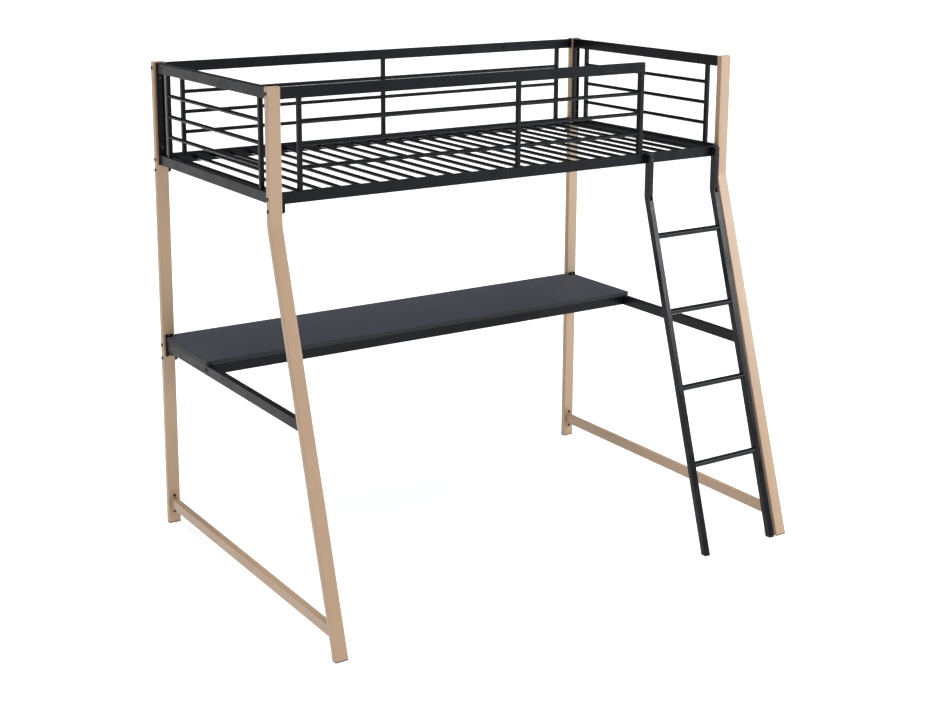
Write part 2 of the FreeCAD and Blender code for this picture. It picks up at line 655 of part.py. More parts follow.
beam_start = LEG_MID_X + CROSS_THICK / 2
front_beam = long_tube(beam_start, -beam_start, BEAM_MID_Y, DESK_TUBE_MID, DESK_TUBE_HEIGHT)
plug_inset = RAIL_WALL + BEAM_PLUG_GAP
plug_corner = Vector(beam_start, BEAM_MID_Y - RAIL_THICK / 2 + plug_inset,
                     DESK_TUBE_MID - DESK_TUBE_HEIGHT / 2 + plug_inset)
beam_plug = Part.makeBox(BEAM_PLUG, RAIL_THICK - 2 * plug_inset, DESK_TUBE_HEIGHT - 2 * plug_inset,
                         plug_corner)
beam_plug = beam_plug.cut(bolt_hole(beam_bolt_seat, AXIS_X * -1, BEAM_BOLT_LENGTH + 4))
back_beam = long_tube(RAIL_START, -RAIL_START, BACK_MID, DESK_TUBE_MID, DESK_TUBE_HEIGHT)
back_bracket = left_bracket(BACK_MID, DESK_TUBE_TOP, DESK_BACK_BRACKET_BOTTOM, desk_through, True)
add("desk_board", desk_board())
add("desk_front_beam", front_beam.cut(screw_holes(0.3)), beam_plug, mirrored(beam_plug))
add("desk_back_beam", back_beam.cut(screw_holes(0.3)), back_bracket, mirrored(back_bracket))
add("desk_board_screws", *[pan_screw(place) for place in screw_places()])


# ---------------------------------------------------------------- ladder
ladder_mid_y = (LADDER_BACK_Y + LADDER_FRONT_Y) / 2
LADDER_SLOPE = math.atan2(FOOT_FORWARD - (FRONT - LADDER_FRONT_Y), LADDER_BEND_Z)
ladder_bend_mid = LADDER_BEND_Z - LADDER_TUBE / 2 * math.tan(LADDER_SLOPE / 2)


def stringer_bar(mid_x, inset):
    """Stringer as a solid bar, drawn in by inset on every side."""
    return bent_run(mid_x, ladder_mid_y, LADDER_SLOPE, ladder_bend_mid, LADDER_BEND_RADIUS, SIDE_RAIL_TOP,
                    LADDER_TUBE - 2 * inset, LADDER_TUBE - 2 * inset, max(RAIL_CORNER - inset, 0.4))


def dimple(mid_x, grow):
    """Pressed hollow in the front of the bend: a long upper slope and a short lower step."""
    face_y = LADDER_FRONT_Y
    high = ladder_bend_mid + DIMPLE_ABOVE + grow
    low = ladder_bend_mid - DIMPLE_BELOW - grow
    points = [Vector(0, face_y - 12, high + 4), Vector(0, face_y - 0.5, high),
              Vector(0, face_y + DIMPLE_DEPTH + grow, low + DIMPLE_STEP), Vector(0, face_y + 1.0 + grow, low),
              Vector(0, face_y - 12, low - 2), Vector(0, face_y - 12, high + 4)]
    wedge = Part.Face(Part.makePolygon(points))
    wedge.translate(AXIS_X * (mid_x - DIMPLE_WIDTH / 2 - grow))
    return wedge.extrude(AXIS_X * (DIMPLE_WIDTH + 2 * grow))


def stringer_pieces(mid_x):
    """Stringer tube, foot cap and top cap."""
    whole = stringer_bar(mid_x, 0)
    bore = stringer_bar(mid_x, LADDER_WALL).cut(dimple(mid_x, LADDER_WALL))
    plug = stringer_bar(mid_x, LADDER_WALL + PLUG_GAP)
    hollow = stringer_bar(mid_x, LADDER_WALL + PLUG_GAP + PLUG_WALL)
    tube_top = SIDE_RAIL_TOP - LADDER_TOP_CAP
    seat = Vector(mid_x, LADDER_FRONT_Y, SIDE_RAIL_MID)
    tube_shape = whole.cut(dimple(mid_x, 0)).cut(bore).common(slab(FOOT_CAP, tube_top))
    tube_shape = tube_shape.cut(bolt_hole(seat, AXIS_Y * -1, LADDER_TUBE + 2))
    foot_plug = plug.cut(hollow).common(slab(FOOT_CAP, FOOT_CAP + PLUG_DEPTH))
    foot = whole.common(slab(0, FOOT_CAP)).fuse(foot_plug).removeSplitter()
    top_plug = plug.cut(hollow).common(slab(tube_top - LADDER_TOP_PLUG, tube_top))
    top = whole.common(slab(tube_top, SIDE_RAIL_TOP)).fuse(top_plug).removeSplitter()
    return tube_shape, foot, top


ladder_feet = []
ladder_tops = []
for side, mid_x in zip(("left", "right"), STRINGER_XS):
    tube_shape, foot, top = stringer_pieces(mid_x)
    add("ladder_%s_stringer" % side, tube_shape)
    ladder_feet.append(foot)
    ladder_tops.append(top)
add("ladder_foot_caps", *ladder_feet)
add("ladder_top_caps", *ladder_tops)

for index in range(RUNG_COUNT):
    height = RUNG_FIRST_Z + RUNG_PITCH * index
    rung_y = ladder_mid_y - (ladder_bend_mid - height) * math.tan(LADDER_SLOPE)
    start = Vector(STRINGER_XS[0] + LADDER_TUBE / 2, rung_y, height)
    end = Vector(STRINGER_XS[1] - LADDER_TUBE / 2, rung_y, height)
    add("ladder_rung_%d" % (index + 1), round_tube(start, end, RUNG_RADIUS, RUNG_WALL))


# ---------------------------------------------------------------- fasteners
def through_set(seats):
    """Bolts and nuts along X for the left legs."""
    pieces = []
    for seat in seats:
        pieces.append(bolt(seat, AXIS_X * -1, AXIS_Z, THROUGH_LENGTH))
        pieces.append(nut(seat + AXIS_X * (LEG_X + BRACKET), AXIS_X, AXIS_Z))
    return pieces


def face_set(seats):
    """Bolts into the left legs' inner faces."""
    return [bolt(seat, outward, AXIS_X, FACE_BOLT_LENGTH) for seat, outward in seats]


def both_ends(pieces):
    """The same fasteners at both ends of the bed."""
    return pieces + [mirrored(piece) for piece in pieces]


rail_bolts = both_ends(through_set(front_through + rear_through + rear_guard_through))
rail_bolts += through_set(front_guard_through)
add("bed_rail_bolts", *rail_bolts)
add("end_frame_bolts", *both_ends(face_set(stile_seats)))
beam_bolt = bolt(beam_bolt_seat, AXIS_X * -1, AXIS_Z, BEAM_BOLT_LENGTH)
add("desk_frame_bolts", *both_ends(face_set(desk_seats) + through_set(desk_through) + [beam_bolt]))
add("floor_bar_bolts", *both_ends(face_set(floor_seats)))
add("ladder_bolts", *[bolt(seat, AXIS_Y * -1, AXIS_X, LADDER_BOLT_LENGTH) for seat in ladder_bolt_seats])


# ---------------------------------------------------------------- files
os.makedirs("parts", exist_ok=True)
for name, shape in parts.items():
    shape.exportStep("parts/%s.step" % name)
print(len(parts), "nodes")
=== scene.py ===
import math

import bmesh
import bpy
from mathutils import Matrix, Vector


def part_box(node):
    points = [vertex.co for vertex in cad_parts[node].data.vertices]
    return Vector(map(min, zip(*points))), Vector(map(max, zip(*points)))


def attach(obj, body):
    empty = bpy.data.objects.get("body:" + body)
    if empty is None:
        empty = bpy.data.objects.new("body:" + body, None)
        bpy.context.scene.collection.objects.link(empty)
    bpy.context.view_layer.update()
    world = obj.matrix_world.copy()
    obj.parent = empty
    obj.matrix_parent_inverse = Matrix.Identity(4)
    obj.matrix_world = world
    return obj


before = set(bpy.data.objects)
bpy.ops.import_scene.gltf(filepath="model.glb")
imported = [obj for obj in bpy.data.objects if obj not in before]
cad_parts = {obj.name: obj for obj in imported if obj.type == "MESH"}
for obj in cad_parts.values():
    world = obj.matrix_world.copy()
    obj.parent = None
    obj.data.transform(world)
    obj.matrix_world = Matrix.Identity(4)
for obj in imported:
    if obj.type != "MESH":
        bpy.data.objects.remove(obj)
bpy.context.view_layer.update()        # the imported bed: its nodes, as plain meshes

bl_info = {
    "name": "Loft Bed Finishes",
    "version": (1, 0, 0),
    "blender": (4, 5, 0),
    "location": "3D View > Sidebar > Loft Bed",
    "description": "Paints, weld beads, fasteners and studio for a steel tube loft bed with a desk",
    "category": "Object",
}

BODY = "root"

LEG_NODES = ("front_left_leg", "front_right_leg", "rear_left_leg", "rear_right_leg",
             "left_floor_bar", "right_floor_bar")
RAIL_NODES = ("front_side_rail", "back_side_rail")
GUARD_NODES = ("front_guard", "back_guard")
END_NODES = ("left_end_frame", "right_end_frame")
DESK_RAIL_NODES = ("desk_left_rail", "desk_right_rail")
FLOOR_NODES = ("left_floor_bar", "right_floor_bar")
BEAM_NODES = ("desk_front_beam", "desk_back_beam")
STRINGER_NODES = ("ladder_left_stringer", "ladder_right_stringer")
BOLT_NODES = ("bed_rail_bolts", "end_frame_bolts", "desk_frame_bolts", "floor_bar_bolts",
              "ladder_bolts", "desk_board_screws")
SLAT_NODES = tuple(sorted(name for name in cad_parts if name.startswith("slat_tube")))
RUNG_NODES = tuple(sorted(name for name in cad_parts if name.startswith("ladder_rung")))

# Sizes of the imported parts, in metres
BRACKET_WALL = 0.0025
BRACKET_DEPTH = 0.0105       # a folded channel is a little less deep than this
BRACKET_HEIGHT = 0.035       # and taller than this
BRACKET_AT_END = 0.02        # a bracket starts nearer than this to the end it is on
RAIL_HEIGHT = 0.02           # rails are taller than this, bars are not
WIDEST_POST = 0.021          # rails are wider than this, posts and bars are not
THICKEST_BAR = 0.0155        # posts are wider than this, round bars are not
FLANGE_REACH = 0.0075        # from a rail's end to the edge of the bracket's flange
SLAT_SEAT = 0.007            # depth of a slat tube's end inside the side rail
LEG_LEAN = 0.430             # how far a front leg comes forward below its bend
LEG_FALL = 1.416             # and how far it falls over that
LEG_SLOPE = math.atan2(LEG_LEAN, LEG_FALL)

# Weld beads
CORNER_CUT = 0.0012          # how much of a square tube's corner a bead cuts off
SEAM_INSET = 0.001           # from a tube's edge to the end of a seam
NEAR = 0.001                 # solids nearer than this count as touching
RING_STEPS = 20
SAMPLES_PER_RIPPLE = 4
BEAD_SIDES = 6
BEAD_UNEVENNESS = 0.07       # share of the radius
THICK_BEAD = 1.2
DESK_BEAD = 1.1
THIN_BEAD = 0.8

# Studio
FLOOR_REACH = 60.0
LIGHT_TINT = (0.92, 0.96, 1.0)
WHITE = (1.0, 1.0, 1.0, 1.0)
HORIZON_SHARE = 0.35         # the room's strength at the horizon, as a share of that overhead
ROOM_FULL_AT = 0.9           # sine of the elevation where the room has its full strength
TOP_LIGHT_SPREAD = math.radians(70.0)

BLACK_PLASTIC = (0.014, 0.014, 0.015)


# ------------------------------------------------------------------ sizes and colours
class LoftBedPaint(bpy.types.PropertyGroup):
    """Colours and gloss of the bed's finishes."""
    leg_colour: bpy.props.FloatVectorProperty(
        name="Leg lacquer", description="Colour of the legs and floor bars",
        subtype="COLOR", size=3, min=0.0, max=1.0, default=(0.43, 0.29, 0.185))
    steel_colour: bpy.props.FloatVectorProperty(
        name="Powder coat", description="Colour of the rails, guards, slats and ladder",
        subtype="COLOR", size=3, min=0.0, max=1.0, default=(0.0046, 0.0050, 0.0074))
    board_colour: bpy.props.FloatVectorProperty(
        name="Desk laminate", description="Colour of the desk board's faces",
        subtype="COLOR", size=3, min=0.0, max=1.0, default=(0.0435, 0.0475, 0.061))
    foot_colour: bpy.props.FloatVectorProperty(
        name="Foot plastic", description="Colour of the caps under the legs",
        subtype="COLOR", size=3, min=0.0, max=1.0, default=(0.085, 0.050, 0.034))
    leg_roughness: bpy.props.FloatProperty(
        name="Leg roughness", description="Roughness of the leg lacquer",
        subtype="FACTOR", min=0.0, max=1.0, default=0.42)
    steel_roughness: bpy.props.FloatProperty(
        name="Coat roughness", description="Roughness of the powder coat",
        subtype="FACTOR", min=0.0, max=1.0, default=0.30)
    steel_gloss: bpy.props.FloatProperty(
        name="Coat gloss", description="Strength of the powder coat's reflections",
        subtype="FACTOR", min=0.0, max=0.5, default=0.12)


class LoftBedWelds(bpy.types.PropertyGroup):
    """Sizes of the weld beads."""
    radius: bpy.props.FloatProperty(
        name="Bead radius", description="Radius of a weld bead",
        unit="LENGTH", min=0.0005, max=0.004, default=0.0014)
    pitch: bpy.props.FloatProperty(
        name="Ripple pitch", description="Distance between two ripples of a bead",
        unit="LENGTH", min=0.001, max=0.01, default=0.003)
    ripple: bpy.props.FloatProperty(
        name="Ripple height", description="Height of a ripple, as a share of the radius",
        subtype="FACTOR", min=0.0, max=0.6, default=0.22)
    seed: bpy.props.IntProperty(
        name="Seed", description="Seed of the beads' unevenness", min=0, default=7)


class LoftBedStudio(bpy.types.PropertyGroup):
    """Camera and lights."""
    lens: bpy.props.FloatProperty(
        name="Lens", description="Focal length", unit="CAMERA", min=10.0, default=59.38)
    azimuth: bpy.props.FloatProperty(
        name="Azimuth", description="Turn of the camera round the bed",
        subtype="ANGLE", default=math.radians(-32.0))
    elevation: bpy.props.FloatProperty(
        name="Elevation", description="Tilt of the camera above level",
        subtype="ANGLE", default=math.radians(11.94))
    place: bpy.props.FloatVectorProperty(
        name="Camera place", description="Where the camera stands",
        subtype="TRANSLATION", unit="LENGTH", size=3, default=(-3.3107, -4.9389, 2.4974))
    shift: bpy.props.FloatVectorProperty(
        name="Lens shift", description="Sideways and upward shift of the lens",
        size=2, default=(0.0459, -0.1309))
    key_power: bpy.props.FloatProperty(
        name="Key light", description="Power of the softbox in front on the right", unit="POWER",
        min=0.0, default=290.0)
    side_power: bpy.props.FloatProperty(
        name="Side light", description="Power of the small softbox on the right", unit="POWER",
        min=0.0, default=34.0)
    top_strength: bpy.props.FloatProperty(
        name="Top light", description="Strength of the wide light overhead",
        min=0.0, default=3.0)
    ambient: bpy.props.FloatProperty(
        name="Ambient", description="Strength of the room's light from above",
        min=0.0, default=0.24)
    floor_glow: bpy.props.FloatProperty(
        name="Floor glow", description="Light given off by the floor, as by a lit studio floor",
        min=0.0, default=0.45)


# ------------------------------------------------------------------ node building
class Finish:
    """A material in the making: its node tree, its shader and the object's coordinates."""

    def __init__(self, name):
        self.material = bpy.data.materials.new(name)
        self.material.use_nodes = True
        self.tree = self.material.node_tree
        self.shader = self.tree.nodes["Principled BSDF"]
        self.place = self.node("ShaderNodeTexCoord").outputs["Object"]

    def node(self, kind, **settings):
        made = self.tree.nodes.new(kind)
        for key, value in settings.items():
            setattr(made, key, value)
        return made

    def link(self, source, target):
        self.tree.links.new(source, target)

    def stretched(self, scale):
        """The object's coordinates, scaled along each axis."""
        mapping = self.node("ShaderNodeMapping")
        mapping.inputs["Scale"].default_value = scale
        self.link(self.place, mapping.inputs["Vector"])
        return mapping.outputs["Vector"]

    def noise(self, scale, detail=2.0, place=None):
        """Noise with about scale features in a metre."""
        made = self.node("ShaderNodeTexNoise")
        made.inputs["Scale"].default_value = scale
        made.inputs["Detail"].default_value = detail
        self.link(place or self.place, made.inputs["Vector"])
        return made.outputs["Fac"]

    def cells(self, scale):
        """Distance to the nearest of about scale points in a metre."""
        made = self.node("ShaderNodeTexVoronoi")
        made.inputs["Scale"].default_value = scale
        self.link(self.place, made.inputs["Vector"])
        return made.outputs["Distance"]

    def remap(self, value, from_low, from_high, to_low, to_high):
        made = self.node("ShaderNodeMapRange")
        for name, number in (("From Min", from_low), ("From Max", from_high),
                             ("To Min", to_low), ("To Max", to_high)):
            made.inputs[name].default_value = number
        self.link(value, made.inputs["Value"])
        return made.outputs["Result"]

    def compute(self, operation, first, second):
        made = self.node("ShaderNodeMath", operation=operation)
        for socket, value in zip(made.inputs, (first, second)):
            if isinstance(value, (int, float)):
                socket.default_value = value
            else:
                self.link(value, socket)
        return made.outputs["Value"]

    def blend(self, factor, first, second):
        """Colour that goes from first to second."""
        made = self.node("ShaderNodeMix", data_type="RGBA")
        self.link(factor, made.inputs["Factor"])
        for socket, value in ((made.inputs[6], first), (made.inputs[7], second)):
            if isinstance(value, tuple):
                socket.default_value = (*value, 1.0)
            else:
                self.link(value, socket)
        return made.outputs[2]

    def edges(self, radius):
        """1 along the edges and 0 on the flats."""
        rounded = self.node("ShaderNodeBevel", samples=4)
        rounded.inputs["Radius"].default_value = radius
        plain = self.node("ShaderNodeNewGeometry")
        dot = self.node("ShaderNodeVectorMath", operation="DOT_PRODUCT")
        self.link(rounded.outputs["Normal"], dot.inputs[0])
        self.link(plain.outputs["Normal"], dot.inputs[1])
        return self.remap(dot.outputs["Value"], 0.995, 0.90, 0.0, 1.0)

    def bump(self, *layers):
        """Bumps laid over each other, each a height and its depth in metres."""
        last = None
        for height, depth in layers:
            made = self.node("ShaderNodeBump")
            made.inputs["Strength"].default_value = 1.0
            made.inputs["Distance"].default_value = depth
            self.link(height, made.inputs["Height"])
            if last:
                self.link(last, made.inputs["Normal"])
            last = made.outputs["Normal"]
        self.link(last, self.shader.inputs["Normal"])

    def set(self, **sockets):
        """Constant values on the shader's own sockets."""
        for name, value in sockets.items():
            self.shader.inputs[name.replace("_", " ")].default_value = value


def shade(colour, factor):
    return tuple(min(1.0, part * factor) for part in colour)


def leg_lacquer(colour, roughness):
    """Satin rose-beige lacquer with a fine orange peel, a slow drift, and a painted highlight: the
    edges painted lighter.
    """
    finish = Finish("leg_lacquer")
    drift = finish.remap(finish.noise(2.2, 3.0), 0.32, 0.68, 0.0, 1.0)
    flecks = finish.remap(finish.noise(260.0, 3.0), 0.35, 0.65, 0.0, 1.0)
    body = finish.blend(drift, shade(colour, 0.965), shade(colour, 1.03))
    body = finish.blend(finish.compute("MULTIPLY", flecks, 0.25), body, shade(colour, 0.93))
    # painted highlight: the leg's edges are painted lighter than its flats
    leg_edge_highlight = finish.compute("MULTIPLY", finish.edges(0.0012), 0.35)
    body = finish.blend(leg_edge_highlight, body, shade(colour, 1.22))
    finish.link(body, finish.shader.inputs["Base Color"])
    wiped = finish.noise(9.0, 4.0, finish.stretched((1.0, 1.0, 0.25)))
    gloss = finish.remap(wiped, 0.3, 0.7, roughness - 0.07, roughness + 0.08)
    finish.link(gloss, finish.shader.inputs["Roughness"])
    finish.bump((finish.noise(420.0, 2.0), 0.00006), (finish.noise(1600.0, 1.0), 0.00002))
    finish.set(Coat_Weight=0.18, Coat_Roughness=0.28, Specular_IOR_Level=0.42)
    return finish.material


def powder_coat(name, colour, roughness, gloss_level):
    """Satin black powder coat: fine pebbled grain, a painted highlight with the edges painted
    lighter, a little handled.
    """
    finish = Finish(name)
    drift = finish.remap(finish.noise(3.5, 3.0), 0.3, 0.7, 0.0, 1.0)
    body = finish.blend(drift, shade(colour, 0.86), shade(colour, 1.16))
    specks = finish.remap(finish.noise(900.0, 1.0), 0.62, 0.75, 0.0, 0.5)
    body = finish.blend(specks, body, shade(colour, 2.2))
    # painted highlight: the coat's edges are painted lighter than its flats
    coat_edge_highlight = finish.compute("MULTIPLY", finish.edges(0.0009), 0.5)
    body = finish.blend(coat_edge_highlight, body, shade(colour, 2.6))
    finish.link(body, finish.shader.inputs["Base Color"])
    handled = finish.noise(14.0, 5.0)
    gloss = finish.remap(handled, 0.3, 0.7, roughness - 0.08, roughness + 0.09)
    finish.link(gloss, finish.shader.inputs["Roughness"])
    finish.bump((finish.noise(650.0, 2.0), 0.00007), (finish.cells(1500.0), 0.00003))
    finish.set(Specular_IOR_Level=gloss_level)
    return finish.material


def desk_laminate(colour, top_z):
    """Charcoal laminate with a fine linear grain, an edge strip glued round the edges, and painted
    shade: the upright faces painted darker than the top.
    """
    finish = Finish("desk_laminate")
    grain = finish.noise(1.0, 6.0, finish.stretched((7.0, 260.0, 260.0)))
    pores = finish.noise(1.0, 3.0, finish.stretched((60.0, 1400.0, 1400.0)))
    cloud = finish.remap(finish.noise(3.0, 3.0), 0.3, 0.7, 0.0, 1.0)
    body = finish.blend(cloud, shade(colour, 0.94), shade(colour, 1.06))
    streaks = finish.remap(grain, 0.42, 0.66, 0.0, 0.55)
    body = finish.blend(streaks, body, shade(colour, 1.35))
    pits = finish.remap(pores, 0.36, 0.44, 0.6, 0.0)
    body = finish.blend(pits, body, shade(colour, 0.55))
    face = finish.node("ShaderNodeNewGeometry")
    split = finish.node("ShaderNodeSeparateXYZ")
    finish.link(face.outputs["Normal"], split.inputs["Vector"])
    # painted shade: faces that stand upright get a darker copy of the top's colour
    upright = finish.remap(finish.compute("ABSOLUTE", split.outputs["Z"], 0.0), 0.5, 0.8, 1.0, 0.0)
    edge_shade = finish.blend(cloud, shade(colour, 0.34), shade(colour, 0.40))
    body = finish.blend(upright, body, edge_shade)
    height = finish.node("ShaderNodeSeparateXYZ")
    finish.link(finish.place, height.inputs["Vector"])
    below = finish.compute("SUBTRACT", top_z, height.outputs["Z"])
    seam_near = finish.compute("ABSOLUTE", finish.compute("SUBTRACT", below, 0.0016), 0.0)
    seam = finish.compute("MULTIPLY", finish.remap(seam_near, 0.0001, 0.0004, 1.0, 0.0), upright)
    body = finish.blend(seam, body, shade(colour, 0.2))
    finish.link(body, finish.shader.inputs["Base Color"])
    matt = finish.remap(grain, 0.3, 0.7, 0.50, 0.62)
    finish.link(matt, finish.shader.inputs["Roughness"])
    finish.bump((grain, 0.00005), (pores, 0.00004), (finish.noise(900.0, 1.0), 0.00002))
    finish.set(Specular_IOR_Level=0.22)
    return finish.material


def moulded_plastic(name, colour):
    """Injection-moulded plastic with a sparked grain, and a painted highlight: the corners painted
    lighter in patches.
    """
    finish = Finish(name)
    drift = finish.remap(finish.noise(40.0, 3.0), 0.3, 0.7, 0.0, 1.0)
    body = finish.blend(drift, shade(colour, 0.9), shade(colour, 1.1))
    # painted highlight: the cap's corners are painted lighter, more in some patches than others
    cap_edge_highlight = finish.compute("MULTIPLY", finish.edges(0.0010), finish.remap(
        finish.noise(180.0, 3.0), 0.4, 0.6, 0.1, 0.7))
    body = finish.blend(cap_edge_highlight, body, shade(colour, 1.5))
    finish.link(body, finish.shader.inputs["Base Color"])
    finish.link(finish.remap(drift, 0.0, 1.0, 0.50, 0.60), finish.shader.inputs["Roughness"])
    finish.bump((finish.cells(2200.0), 0.00004))
    finish.set(Specular_IOR_Level=0.45)
    return finish.material


def black_oxide():
    """Oiled black oxide on steel, with a painted highlight: the rims painted bright."""
    finish = Finish("black_oxide")
    cloud = finish.remap(finish.noise(300.0, 4.0), 0.3, 0.7, 0.0, 1.0)
    body = finish.blend(cloud, (0.035, 0.035, 0.038), (0.065, 0.064, 0.064))
    # painted highlight: the fastener rims are painted bright
    rim_highlight = finish.compute("MULTIPLY", finish.edges(0.0005), 0.6)
    body = finish.blend(rim_highlight, body, (0.32, 0.31, 0.30))
    finish.link(body, finish.shader.inputs["Base Color"])
    finish.link(finish.remap(cloud, 0.0, 1.0, 0.26, 0.38), finish.shader.inputs["Roughness"])
    finish.bump((finish.noise(2400.0, 2.0), 0.00002))
    finish.set(Metallic=0.85)
    return finish.material


def coat(names, material):
    """Give CAD nodes a finish."""
    for name in names:
        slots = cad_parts[name].data.materials
        for index in range(len(slots)):
            slots[index] = material


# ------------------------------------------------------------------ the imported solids
def solids_of(name):
    """Lowest and highest corner of each separate solid of a node."""
    work = bmesh.new()
    work.from_mesh(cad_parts[name].data)
    bmesh.ops.remove_doubles(work, verts=work.verts, dist=1e-6)
    seen = set()
    found = []
    for first in work.verts:
        if first in seen:
            continue
        seen.add(first)
        waiting = [first]
        low = first.co.copy()
        high = first.co.copy()
        while waiting:
            vertex = waiting.pop()
            low = Vector(map(min, low, vertex.co))
            high = Vector(map(max, high, vertex.co))
            for edge in vertex.link_edges:
                other = edge.other_vert(vertex)
                if other not in seen:
                    seen.add(other)
                    waiting.append(other)
        found.append((low, high))
    work.free()
    return found


def long_axis(low, high):
    size = high - low
    return max(range(3), key=lambda axis: size[axis])


def is_bracket(low, high):
    """A folded channel is 10 mm deep along X or Y."""
    size = high - low
    return min(size.x, size.y) < BRACKET_DEPTH and size.z > BRACKET_HEIGHT


# ------------------------------------------------------------------ weld beads
def ring(low, high, axis, at, lift, round_section):
    """Closed path round a tube's section, at a place along its axis."""
    first, second = [other for other in range(3) if other != axis]
    mid = (low + high) / 2
    half_a = (high[first] - low[first]) / 2 + lift
    half_b = (high[second] - low[second]) / 2 + lift
    points = []
    if round_section:
        turns = [2 * math.pi * i / RING_STEPS for i in range(RING_STEPS)]
        corners = [(math.cos(turn) * half_a, math.sin(turn) * half_b) for turn in turns]
    else:
        cut = CORNER_CUT
        corners = [(half_a, cut - half_b), (half_a, half_b - cut), (half_a - cut, half_b),
                   (cut - half_a, half_b), (-half_a, half_b - cut), (-half_a, cut - half_b),
                   (cut - half_a, -half_b), (half_a - cut, -half_b)]
    for a, b in corners:
        point = Vector((0.0, 0.0, 0.0))
        point[axis] = at
        point[first] = mid[first] + a
        point[second] = mid[second] + b
        points.append(point)
    return points, True


def seam(start, end):
    """Open path between two points."""
    return [Vector(start), Vector(end)], False


def flange_seams(bracket, rail):
    """Seams on a rail's two side faces, along the edges of a bracket's flanges."""
    b_low, b_high = bracket
    r_low, r_high = rail
    run = 0 if b_high.x - b_low.x < BRACKET_DEPTH else 1
    side = 1 - run
    toward_high = abs(b_low[run] - r_low[run]) < BRACKET_AT_END
    edge = b_high[run] if toward_high else b_low[run]
    found = []
    for face in (b_low[side] + BRACKET_WALL, b_high[side] - BRACKET_WALL):
        start = Vector((0.0, 0.0, r_low.z + SEAM_INSET))
        start[run] = edge
        start[side] = face
        end = start.copy()
        end.z = r_high.z - SEAM_INSET
        found.append(seam(start, end))
    return found


def bracket_paths(name):
    """Seams wherever a rail of this node sits in one of its brackets."""
    solids = solids_of(name)
    brackets = [solid for solid in solids if is_bracket(*solid)]
    rails = [solid for solid in solids if not is_bracket(*solid) and long_axis(*solid) != 2
             and solid[1].z - solid[0].z > RAIL_HEIGHT]
    found = []
    for low, high in brackets:
        for rail in rails:
            touching = all(rail[0][i] < high[i] + NEAR and low[i] - NEAR < rail[1][i]
                           for i in range(3))
            if touching:
                found += flange_seams((low, high), rail)
    return found


def post_and_bar_paths(name):
    """Rings at both ends of every post and bar of a guard or end frame, but not of its rails."""
    found = []
    for low, high in solids_of(name):
        size = high - low
        axis = long_axis(low, high)
        across = sorted(size)[1]
        if across > WIDEST_POST or is_bracket(low, high):
            continue
        round_section = across < THICKEST_BAR
        for at in (low[axis], high[axis]):
            found.append(ring(low, high, axis, at, 0.0, round_section))
    return found


def slat_paths():
    """Rings where the slat tubes enter the side rails."""
    found = []
    for name in SLAT_NODES:
        low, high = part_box(name)
        for at in (low.y + SLAT_SEAT, high.y - SLAT_SEAT):
            found.append(ring(low, high, 1, at, 0.0, True))
    return found


def rung_paths():
    """Rings where the rungs meet the stringers."""
    found = []
    for name in RUNG_NODES:
        low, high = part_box(name)
        for at in (low.x, high.x):
            found.append(ring(low, high, 0, at, 0.0, True))
    return found


def sloping_ring(low, high, shift):
    """Closed path round the end of a level tube that is cut to the sloping leg's face."""
    rise = (high.z - low.z) * math.tan(LEG_SLOPE)
    near = low.y + shift
    corners = ((low.x, near, low.z), (high.x, near, low.z),
               (high.x, near + rise, high.z), (low.x, near + rise, high.z))
    return [Vector(corner) for corner in corners], True


def floor_bar_paths(name):
    """Rings where a floor bar meets its two plates."""
    low, high = max(solids_of(name), key=lambda solid: solid[1].y - solid[0].y)
    return [sloping_ring(low, high, 0.0), ring(low, high, 1, high.y, 0.0, False)]


def desk_rail_paths(name):
    """Seams between a desk rail and its two brackets."""
    low, high = max(solids_of(name), key=lambda solid: solid[1].y - solid[0].y)
    rise = (high.z - low.z) * math.tan(LEG_SLOPE)
    front = low.y + FLANGE_REACH / math.cos(LEG_SLOPE)
    rear = high.y - FLANGE_REACH
    found = []
    for x in (low.x, high.x):
        found.append(seam((x, front, low.z + SEAM_INSET), (x, front + rise, high.z - SEAM_INSET)))
        found.append(seam((x, rear, low.z + SEAM_INSET), (x, rear, high.z - SEAM_INSET)))
    return found


